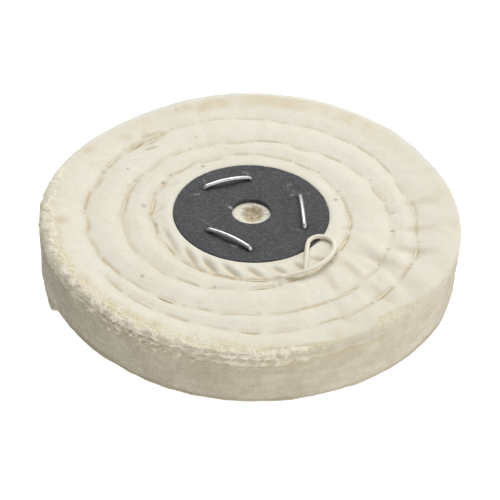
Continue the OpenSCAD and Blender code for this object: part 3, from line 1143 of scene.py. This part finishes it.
def inner_ply():
    """One ply of the pack, with a ragged rim and a frayed bore, ready to be repeated."""
    turns = np.arange(INNER_COLUMNS) * 360 / INNER_COLUMNS
    angle = np.radians(turns)
    ragged = 0.1 * MM * ring_noise(turns, 60, 71) + 0.08 * MM * ring_noise(turns, 200, 72)
    bore = 0.45 * MM * ring_noise(turns, 9, 73) + 0.3 * MM * ring_noise(turns, 40, 74)
    rings = []
    for radius, side, _, loose, _ in INNER_RINGS:
        r = radius * MM + loose * ragged + (bore if radius == INNER_BORE_R else 0)
        z = np.full(INNER_COLUMNS, side * 0.1 * MM)
        rings.append(np.stack([r * np.cos(angle), r * np.sin(angle), z], axis=-1))
    mesh = ring_mesh("inner_ply", rings)
    for name, column, unit in (("side", 1, 1), ("half", 2, MM), ("loose", 3, 1), ("lift", 4, MM)):
        store(mesh, name, np.repeat([ring[column] * unit for ring in INNER_RINGS], INNER_COLUMNS))
    return mesh


def inner_plies(name, first, last, tree, finish, wear, seed):
    step = 2 / PLY_COUNT
    return grow(
        name, inner_ply(), tree, finish,
        Plies=last - first + 1,
        First_Level=step * (first - 0.5) - 1,
        Level_Step=step,
        Middle=MIDDLE_Z,
        Wear=wear,
        Seed=seed,
    )


# Frayed edge

# Angles round the wheel, close together where the yarn shows, then the section of the yarn: distances in from
# the curl of the front ply, angles round the curl and distances down from it, in millimetres
FRAY_TURNS = np.concatenate([np.arange(-60, 148, 4), np.arange(148, 300, 0.25)])
FRAY_TOP = np.arange(2.4, 0, -0.24)
FRAY_ARC = np.radians(np.arange(0, 91, 10))
FRAY_DROP = np.arange(0.2, 5.3, 0.2)
# Grooves between the beads of loose yarn: distance over the edge, depth and width in millimetres
FRAY_GROOVES = [(1.9, 0.4, 0.32), (4, 0.35, 0.35)]
# Lumps of loose yarn: height and span in millimetres, and seed
FRAY_LUMPS = [(0.36, 1.1, 62), (0.26, 0.6, 63), (0.14, 0.36, 64)]
# Inner side, out of sight: distances in from the rim and down from the brim
FRAY_INSIDE = [(1.3, 5.2), (1.5, 1.6), (3.6, 0.8)]
# How far the yarn is sunk in the cloth where nothing is frayed, and tucked in at its foot, in millimetres
FRAY_SUNK = 0.3
FRAY_TUCK = 0.6


def frayed_edge(finish):
    """Loose yarn along the upper edge: lumpy beads over the curl of the front ply, out of sight elsewhere."""
    turn = FRAY_TURNS % 360
    cos = np.cos(np.radians(turn))
    sin = np.sin(np.radians(turn))
    edge = edge_radius(turn, "front")
    curl = curl_radius(turn, "front")
    frayed = fraying(turn)
    brim_r = edge - curl
    top_r = brim_r - FRAY_TOP[:, None] * MM
    brim = cloth_height((brim_r * cos)[None], (brim_r * sin)[None], "front")[0]
    top_h = cloth_height(top_r * cos, top_r * sin, "front")
    bend = FRAY_ARC[:, None]
    drop = FRAY_DROP[:, None] * MM * np.clip(0.1 + 1.1 * frayed, 0, 1)
    drop *= 1 - 0.35 * smoothstep(238, 260, turn)
    r = np.vstack([top_r, brim_r + curl * np.sin(bend), edge + 0 * drop])
    h = np.vstack([top_h, brim - curl * (1 - np.cos(bend)), brim - curl - drop])
    lean = np.concatenate([0 * FRAY_TOP, FRAY_ARC, 0 * FRAY_DROP + math.pi / 2])[:, None]
    over = np.vstack([-FRAY_TOP[:, None] * MM + 0 * curl, curl * bend, curl * math.pi / 2 + drop]) / MM
    along = turn * math.radians(1) * WHEEL_R / MM
    wander = 0.35 * ring_noise(turn, 24, 61)
    pit = sum(depth * bell(over - place - wander, width) for place, depth, width in FRAY_GROOVES)
    lumps = sum(
        size * soft_noise(along / span + 0 * over, over / span, seed)
        for size, span, seed in FRAY_LUMPS
    )
    shown = frayed * smoothstep(-2.4, 0.2, over)
    out = shown * (0.08 * (over < 1) + lumps - pit) - FRAY_SUNK * (1 - smoothstep(0.05, 0.35, shown))
    out -= FRAY_TUCK * smoothstep(3.6, 7, over)
    inside_r = [edge - inset * MM for inset, depth in FRAY_INSIDE]
    inside_h = [brim - depth * MM for inset, depth in FRAY_INSIDE]
    rows_r = np.vstack([r + out * MM * np.sin(lean), inside_r])
    rows_h = np.vstack([h + out * MM * np.cos(lean), inside_h])
    rings = np.stack([rows_r * cos, rows_r * sin, MIDDLE_Z + rows_h], axis=-1)
    # Painted shade in the hollows between the lumps and in the grooves, stored as pit
    hollow_shade = np.clip(0.28 - 2.4 * (lumps - pit) + 0.25 * smoothstep(1.2, 3, over), 0, 1)
    plain = shown * (1 - 0.3 * smoothstep(240, 265, turn))
    fields = {
        "pit": plain * hollow_shade * smoothstep(-1.2, 0.6, over),
        "soil": np.clip(1.2 * frayed, 0, 1) * smoothstep(165, 225, turn) * (1 - smoothstep(-0.6, 0.6, over)),
        # Felted colour, with painted shade deepening further down over the edge
        "felted_and_shade": smoothstep(0.6, 2.6, over),
    }
    unseen = np.zeros((len(FRAY_INSIDE), len(turn)))
    fields = {name: np.vstack([values + 0 * r, unseen]) for name, values in fields.items()}
    return ring_piece("frayed_edge", rings, fields, finish)


# Washers and staples

STAPLE_ANGLES = [3, 120, 246]
STAPLE_SKEWS = [2, -8, -8]
STAPLE_R = 12.4 * MM
STAPLE_W = 12.2 * MM
WIRE_R = 0.55 * MM
BEND_R = 0.9 * MM
CROWN_ARCH = 12
CROWN_SEAT = 0.3 * MM
TAIL_L = 3.6 * MM
TAIL_GAP = 0.05 * MM
WASHER_COLUMNS = 300
# Width of a washer's worn corner, and how far the corner itself is rubbed off
WASHER_SOFT = 0.18 * MM
WASHER_RUB = 0.05 * MM
# The washer is dented at the staples' legs, and painted with dark shade in their holes
DENT_R = 1.4 * MM
DENT_H = 0.22 * MM
LEG_HOLE_SHADE_R = 0.95 * MM
WASHER_WARP = 0.05 * MM

# Scuffs on the front washer, where the stapler's head struck it: both ends in millimetres, width and strength
SCUFFS = [
    (8.9, 11.3, 10, 11.6, 0.25, 0.5), (8.8, 11.4, 8.9, 9.1, 0.2, 0.45), (10, 9.2, 10.5, 8.1, 0.25, 0.6),
    (9.9, 7.3, 10.9, 7.5, 0.35, 1), (11.3, 8.3, 14.3, 7.8, 0.2, 0.4), (10.2, -6.2, 12.6, -6.4, 0.2, 0.4),
    (-2.2, 15.7, -1.3, 15.3, 0.35, 0.6), (-14.8, 5.6, -13.4, 6, 0.35, 0.6),
    (-12.3, 12, -11.6, 10.6, 0.3, 0.4), (-4.4, -13.3, -3.2, -13.7, 0.35, 0.8),
    (-0.3, 13.6, 0.2, 12.4, 0.25, 0.5), (-5.9, 2, -4.9, 0.9, 0.25, 1.6), (-12.4, -3.8, -9.6, -6, 0.2, 0.45),
]


def staple_frame(index):
    """Places a staple drawn along X at its own angle and skew."""
    turn = Matrix.Rotation(math.radians(STAPLE_ANGLES[index]), 4, "Z")
    skew = Matrix.Rotation(math.radians(90 + STAPLE_SKEWS[index]), 4, "Z")
    return turn @ Matrix.Translation((STAPLE_R, 0, 0)) @ skew


def leg_places():
    places = []
    for index in range(len(STAPLE_ANGLES)):
        for side in (-1, 1):
            places.append(staple_frame(index) @ Vector((side * STAPLE_W / 2, 0, 0)))
    return np.array([place[:2] for place in places])


def scuff_field(x, y):
    total = np.zeros(x.shape)
    for left, low, right, high, width, strength in SCUFFS:
        start = np.array([left, low]) * MM
        run = np.array([right - left, high - low]) * MM
        share = np.clip(((x - start[0]) * run[0] + (y - start[1]) * run[1]) / (run @ run), 0, 1)
        away = np.hypot(x - start[0] - share * run[0], y - start[1] - share * run[1])
        total = np.maximum(total, strength * bell(away, width * MM))
    return total


def fibre_washer(name, up, finish):
    """A punched fibre washer with a rough outer edge, dented a little where the staples pull it down."""
    turns = np.arange(WASHER_COLUMNS) * 360 / WASHER_COLUMNS
    angle = np.radians(turns)
    thick = WASHER_THICKNESS
    corner = [(0, -WASHER_SOFT), (WASHER_RUB, -WASHER_RUB), (WASHER_SOFT, 0)]
    section = [(BORE_R, 0)]
    section += [(BORE_R + inset, thick + drop) for inset, drop in corner]
    section += [(r * MM, thick) for r in np.arange(5.3, 18.6, 0.3)]
    section += [(WASHER_R - inset, thick + drop) for inset, drop in reversed(corner)]
    section += [(WASHER_R, 0)]
    section += [(r * MM, 0) for r in (16, 12, 8)]
    r, height = np.array(section).T[:, :, None]
    rough = 0.1 * ring_noise(turns, 70, 33) + 0.06 * ring_noise(turns, 140, 34) - 0.05
    r = r + (r > WASHER_R - 0.2 * MM) * rough * MM
    x = r * np.cos(angle)
    y = r * np.sin(angle)
    to_legs = [np.hypot(x - leg[0], y - leg[1]) for leg in leg_places()]
    dents = sum(bell(away, DENT_R) for away in to_legs)
    # Painted dark shade where the staples' legs go down into the washer
    holes = sum(bell(away, LEG_HOLE_SHADE_R) for away in to_legs)
    warp = WASHER_WARP * waves(x, y, 7, 31, 9)
    z = HUB_HALF + height + (height > 0) * (warp - DENT_H * dents)
    fields = {"scuff": scuff_field(x, y), "hole": np.clip(1.3 * holes, 0, 1)}
    return ring_piece(name, np.stack([x, y, HUB_Z + up * z], axis=-1), fields, finish)


def arc(centre, radius, start, end, steps):
    angles = np.radians(np.linspace(start, end, steps))
    return [Vector((centre[0] + radius * math.cos(a), 0, centre[1] + radius * math.sin(a))) for a in angles]


def staple_line(index):
    """Middle of the staple wire: tail, leg, sprung crown, leg and tail."""
    corner = STAPLE_W / 2 - BEND_R
    top = WASHER_HALF - CROWN_SEAT
    bottom = BEND_R - WASHER_HALF - WIRE_R - TAIL_GAP
    arch = corner / math.sin(math.radians(CROWN_ARCH)) + BEND_R
    arch_z = top - (arch - BEND_R) * math.cos(math.radians(CROWN_ARCH))
    half = [Vector((corner - TAIL_L, 0, bottom - BEND_R)), Vector((corner - TAIL_L / 2, 0, bottom - BEND_R))]
    half += arc((corner, bottom), BEND_R, -90, 0, 7)
    half += [Vector((STAPLE_W / 2, 0, z)) for z in (bottom / 2, 0, top / 2)]
    half += arc((corner, top), BEND_R, 0, 90 - CROWN_ARCH, 7)
    half += arc((0, arch_z), arch, 90 - CROWN_ARCH, 90, 9)[1:]
    other = [Vector((-point.x, 0, point.z)) for point in reversed(half[:-1])]
    place = Matrix.Translation((0, 0, HUB_Z)) @ staple_frame(index)
    return [place @ point for point in half + other]


# Thread

# The tight stitches are drawn thinner than the loose end
THREAD_R = 0.32 * MM
LOOSE_THREAD_R = 0.55 * MM
# Share of the way along a stitch, and height of the thread's middle over the cloth there, in millimetres
STITCH_RISE = [
    (0, -0.8), (0.06, -0.5), (0.14, -0.2), (0.28, 0), (0.5, 0.06), (0.72, 0), (0.86, -0.2), (0.94, -0.5),
]
# How far the plainest stitch is sunk in the cloth, and how much further the faintest, in millimetres
STITCH_SUNK = 0.29
FAINT_SUNK = 0.35


def stitch_line(face):
    """The thread of one face: it dips into each needle hole and lies sunk in the cloth between."""
    points = []
    for start, end, bow, plain in zip(HOLES[:-1], HOLES[1:], STITCH_BOWS, STITCH_SHOWS):
        ahead = (end - start) / np.hypot(*(end - start))
        aside = np.array([-ahead[1], ahead[0]])
        sunk = STITCH_SUNK + FAINT_SUNK * (1 - plain)
        for share, lift in STITCH_RISE:
            place = start + share * (end - start) + aside * bow * math.sin(math.pi * share)
            points.append((*place, (lift - sunk) * MM))
    points.append((*HOLES[-1], STITCH_RISE[0][1] * MM))
    points = np.array(points)
    height = cloth_height(points[:, :1], points[:, 1:2], face)[:, 0]
    points[:, 2] = MIDDLE_Z + FACE_UP[face] * (height + points[:, 2])
    return points


# Loose end of the needle thread, from the first stitch: the same points as the solid, in millimetres,
# with heights from the top of the sewn band
LOOP_ROUTE = [
    (7.25, -24.38, 0.62), (8.7, -24.05, 0.7), (10.9, -23.65, 1.15), (13.3, -22.75, 1.55),
    (15.4, -21.3, 1.55), (17.4, -19.4, 1.55), (18.9, -17.2, 1.55), (19.75, -14.9, 1.55),
    (19.9, -12.65, 1.35), (19.48, -11, 1.05), (18.35, -9.87, 1), (16.8, -9.45, 1),
    (15.25, -9.87, 1), (14.12, -11, 1), (13.65, -12.6, 1), (13.45, -14.5, 1.02),
    (13.35, -16.6, 1), (13.25, -18.4, 0.85), (13.15, -20, 0.7), (13.1, -21.5, 0.62),
]
LOOP_STEPS = 8


def smooth_line(points, steps):
    """A smooth curve through a list of points, with a number of steps between each two."""
    padded = np.vstack([points[:1], points, points[-1:]])
    line = []
    for before, first, last, after in zip(padded, padded[1:], padded[2:], padded[3:]):
        for t in np.arange(steps) / steps:
            line.append(
                first + (last - before) * t / 2
                + (2 * before - 5 * first + 4 * last - after) * t ** 2 / 2
                + (3 * first - before - 3 * last + after) * t ** 3 / 2
            )
    return np.array(line + [points[-1]])


def loop_line():
    points = np.array(LOOP_ROUTE) * MM
    points[:, 2] += SEWN_TOP
    return smooth_line(points, LOOP_STEPS)


# Camera and light

CAMERA_TARGET = Vector((0.05, -15.6, 14.8)) * MM
CAMERA_DISTANCE = 330 * MM
CAMERA_ELEVATION = 39.8
CAMERA_ROLL = 2.28
CAMERA_LENS = 101.1
SENSOR_W = 36
CLIP_START = 0.01
# Soft boxes: place, side and power
LAMPS = {
    "back_window": ((-0.05, 0.6, 1), 1.1, 13.4),
    "right_fill": ((1, 0.05, 0.45), 0.9, 4.6),
    "front_fill": ((0.45, -1, 0.3), 1, 4.4),
}
SKY_STRENGTH = 0.25
FLOOR_HALF = 3


def make_camera():
    data = bpy.data.cameras.new("camera")
    data.sensor_width = SENSOR_W
    data.lens = CAMERA_LENS
    data.clip_start = CLIP_START
    camera = link("camera", data)
    tilt = math.radians(CAMERA_ELEVATION)
    back = Vector((0, -math.cos(tilt), math.sin(tilt)))
    facing = (-back).to_track_quat("-Z", "Y").to_matrix().to_4x4()
    camera.matrix_world = (
        Matrix.Translation(CAMERA_TARGET + back * CAMERA_DISTANCE)
        @ facing
        @ Matrix.Rotation(math.radians(CAMERA_ROLL), 4, "Z")
    )
    bpy.context.scene.camera = camera


def soft_box(name, place, size, power):
    """A square area light that faces the wheel."""
    data = bpy.data.lights.new(name, "AREA")
    data.size = size
    data.energy = power
    lamp = link(name, data)
    aim = Vector(place) - Vector((0, 0, MIDDLE_Z))
    lamp.matrix_world = Matrix.Translation(place) @ aim.to_track_quat("Z", "Y").to_matrix().to_4x4()


def make_light():
    for name, (place, size, power) in LAMPS.items():
        soft_box(name, place, size, power)
    world = bpy.data.worlds.new("studio")
    world.use_nodes = True
    sky = world.node_tree.nodes["Background"]
    sky.inputs["Color"].default_value = rgba(1, 1, 1)
    sky.inputs["Strength"].default_value = SKY_STRENGTH
    bpy.context.scene.world = world
    bpy.context.scene.view_settings.view_transform = "Standard"


def make_floor():
    mesh = bpy.data.meshes.new("floor")
    corners = [(x * FLOOR_HALF, y * FLOOR_HALF, 0) for x, y in ((-1, -1), (1, -1), (1, 1), (-1, 1))]
    mesh.from_pydata(corners, [], [(0, 1, 2, 3)])
    mesh.materials.append(pale_floor())
    link("floor", mesh)


# The wheel, piece by piece

make_camera()
make_light()
make_floor()

cloth = calico()
edges = cut_edges()
cotton = frayed_cotton()
loose_thread = sewing_cotton("loose_cotton", pale=rgba(0.775, 0.73, 0.615), dark=rgba(0.745, 0.69, 0.565))
# The stitches use a darker copy of the same thread: painted shade for thread lying sunk in the cloth
shaded_sewn_thread = sewing_cotton("shaded_sewn_cotton", pale=rgba(0.725, 0.67, 0.54), dark=rgba(0.68, 0.615, 0.475))
fibre = vulcanised_fibre()
wire = galvanised_wire()
swept = swept_tree()
pack = ply_tree()

loop_path = loop_line()
line = path_mesh("loop_path", loop_path)
loop = grow("loose_loop", line, swept, loose_thread, Radius=LOOSE_THREAD_R, Sides=12)
settle(loop, "sewing_thread", "thread_loop")

half_count = PLY_COUNT // 2
front = settle(face_ply("front", cloth), "cloth", *ply_nodes(PLY_COUNT, PLY_COUNT))
back = settle(face_ply("back", cloth), "cloth", *ply_nodes(1, 1))
upper = inner_plies("upper_plies", half_count + 1, PLY_COUNT - 1, pack, edges, wear=1.2 * MM, seed=3)
lower = inner_plies("lower_plies", 2, half_count, pack, edges, wear=0.5 * MM, seed=9)
settle(upper, "cloth", *ply_nodes(half_count + 1, PLY_COUNT - 1))
settle(lower, "cloth", *ply_nodes(2, half_count))

fray = settle(frayed_edge(cotton), "cloth")

disc = math.pi * (WHEEL_R ** 2 - BORE_R ** 2)
wide = 2 * WHEEL_R
for stack, first, last in ((upper, half_count + 1, PLY_COUNT - 1), (lower, 2, half_count)):
    plies = last - first + 1
    plies * wide
    plies * disc

settle(fibre_washer("front_fibre_washer", 1, fibre), "fibre", "front_washer")
settle(fibre_washer("back_fibre_washer", -1, fibre), "fibre", "back_washer")
for number in range(1, len(STAPLE_ANGLES) + 1):
    line = path_mesh(f"staple_line_{number}", staple_line(number - 1))
    staple = grow(f"wire_staple_{number}", line, swept, wire, Radius=WIRE_R, Sides=16, Spacing=0.25 * MM)
    settle(staple, "staple_wire", f"staple_{number}")

for face, node in (("front", "needle_thread"), ("back", "bobbin_thread")):
    line = path_mesh(f"{face}_stitch_line", stitch_line(face))
    stitches = grow(f"{face}_stitches", line, swept, shaded_sewn_thread, Radius=THREAD_R, Sides=8, Spacing=0.35 * MM)
    settle(stitches, "sewing_thread", node)
